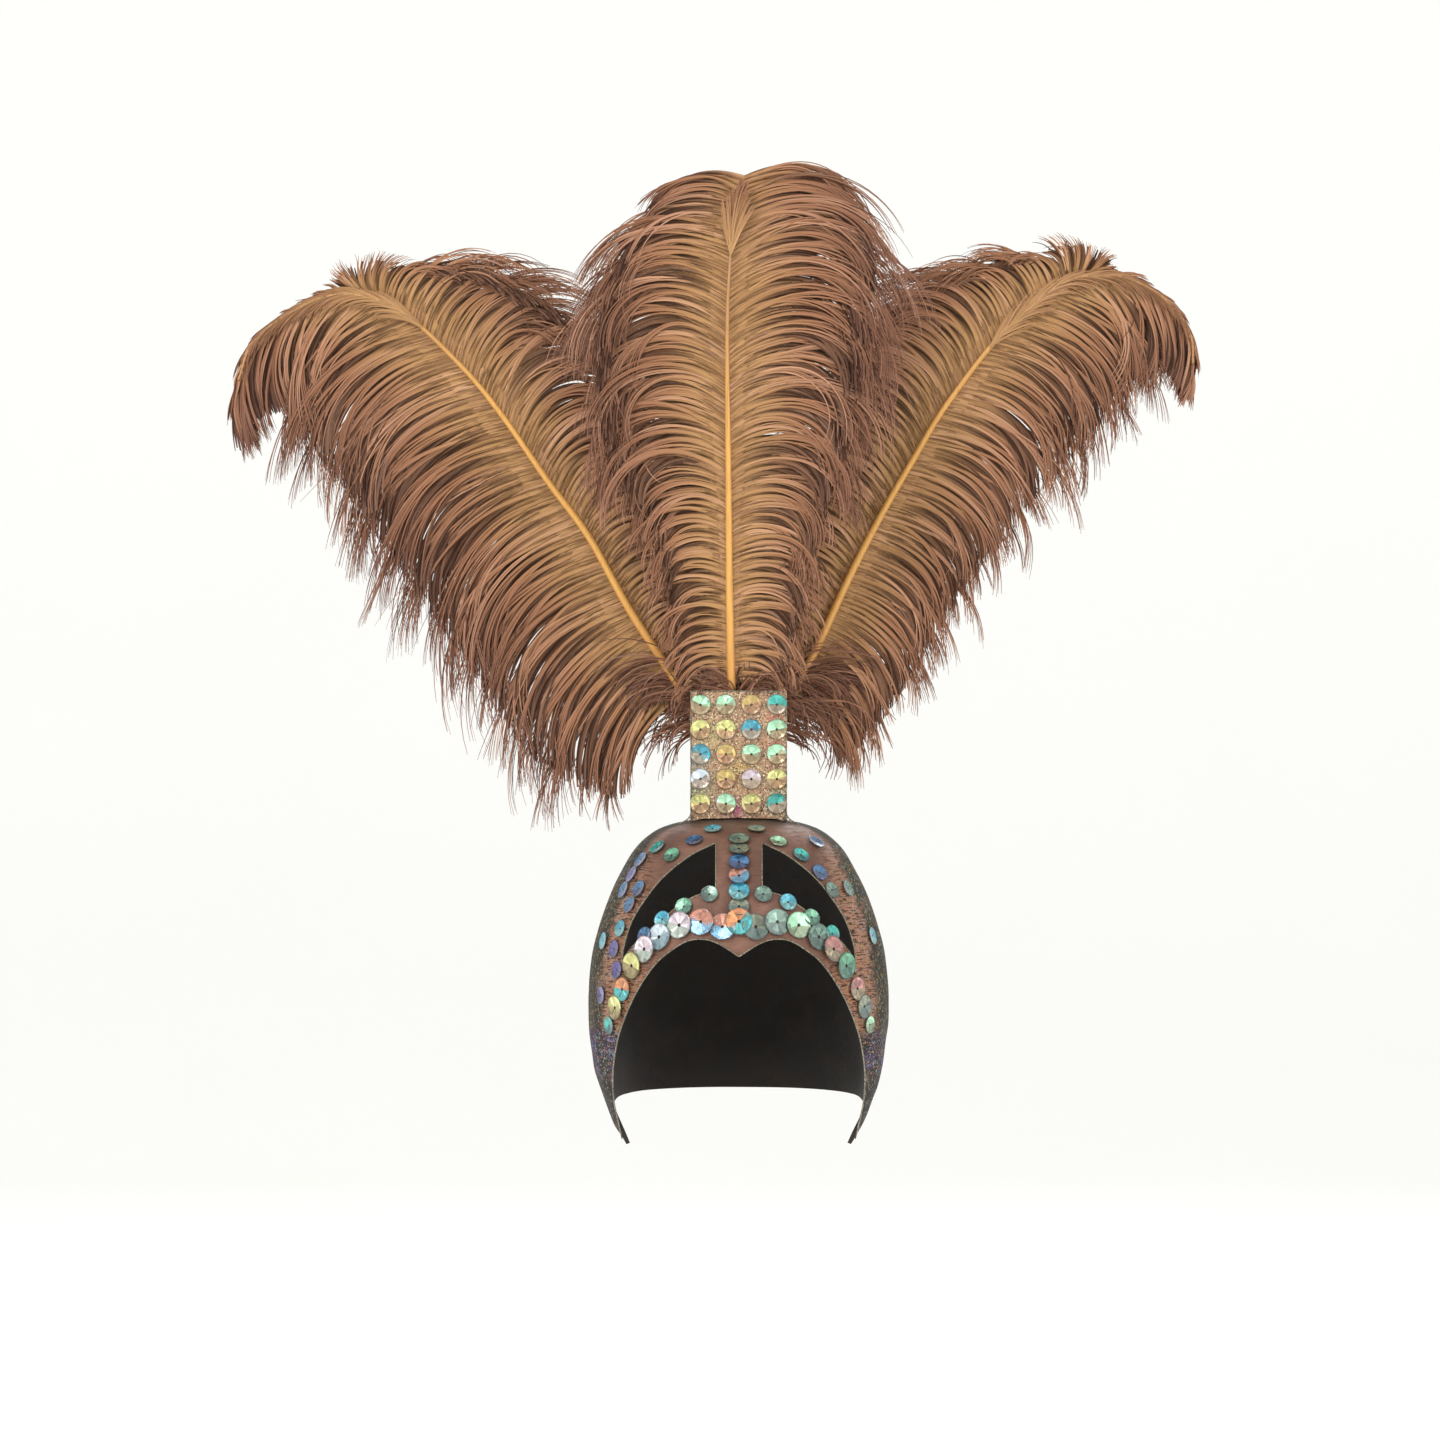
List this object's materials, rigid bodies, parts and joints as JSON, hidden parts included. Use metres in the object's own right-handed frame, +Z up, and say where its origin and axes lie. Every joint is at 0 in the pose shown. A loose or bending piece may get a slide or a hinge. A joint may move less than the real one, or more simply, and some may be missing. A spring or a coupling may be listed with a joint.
{
  "type": "feathered headdress",
  "caption": "Open-fronted sequinned cap with a pointed brow, cut windows and ear flaps, carrying an upright sequinned panel and tall drooping ostrich plumes.",
  "frame": {"origin": "inside of the crown, on the middle plane, where the cap sits on the head", "axes": "+Z up, -Y is the front that faces with the wearer, +X to the right in the front view"},
  "size_m": [0.5427, 0.1979, 0.5526],
  "materials": {
    "cap_satin": "iridescent rose-brown satin, crinkled at the sides",
    "holder_cloth": "pinkish brown glitter cloth",
    "socket_felt": "dark brown felt",
    "quill": "golden horn",
    "plume": "soft feather barbs, golden brown by the shaft and mauve brown at the tips",
    "sequin_holder": "iridescent mint and pale yellow, cupped",
    "sequin_teal": "iridescent teal and blue"
  },
  "bodies": {
    "root": {"brow_sequin_centre": "sequin_teal", "brow_sequin_left_1": "sequin_teal", "brow_sequin_left_2": "sequin_teal", "brow_sequin_left_3": "sequin_teal", "brow_sequin_left_4": "sequin_teal", "brow_sequin_left_5": "sequin_teal", "brow_sequin_left_6": "sequin_teal", "brow_sequin_right_1": "sequin_teal", "brow_sequin_right_2": "sequin_teal", "brow_sequin_right_3": "sequin_teal", "brow_sequin_right_4": "sequin_teal", "brow_sequin_right_5": "sequin_teal", "brow_sequin_right_6": "sequin_teal", "cap_shell": "cap_satin", "holder_panel": "holder_cloth", "holder_sequin_r1_c1": "sequin_holder", "holder_sequin_r1_c2": "sequin_holder", "holder_sequin_r1_c3": "sequin_holder", "holder_sequin_r1_c4": "sequin_holder", "holder_sequin_r2_c1": "sequin_holder", "holder_sequin_r2_c2": "sequin_holder", "holder_sequin_r2_c3": "sequin_holder", "holder_sequin_r2_c4": "sequin_holder", "holder_sequin_r3_c1": "sequin_holder", "holder_sequin_r3_c2": "sequin_holder", "holder_sequin_r3_c3": "sequin_holder", "holder_sequin_r3_c4": "sequin_holder", "holder_sequin_r4_c1": "sequin_holder", "holder_sequin_r4_c2": "sequin_holder", "holder_sequin_r4_c3": "sequin_holder", "holder_sequin_r4_c4": "sequin_holder", "holder_sequin_r5_c1": "sequin_holder", "holder_sequin_r5_c2": "sequin_holder", "holder_sequin_r5_c3": "sequin_holder", "holder_sequin_r5_c4": "sequin_holder", "plume_shaft_centre": "quill", "plume_shaft_left": "quill", "plume_shaft_right": "quill", "plume_vane_centre": "plume", "plume_vane_left": "plume", "plume_vane_right": "plume", "post_sequin_1": "sequin_teal", "post_sequin_2": "sequin_teal", "post_sequin_3": "sequin_teal", "post_sequin_4": "sequin_teal", "post_sequin_5": "sequin_teal", "post_sequin_6": "sequin_teal", "quill_socket": "socket_felt"}
  },
  "joints": []
}
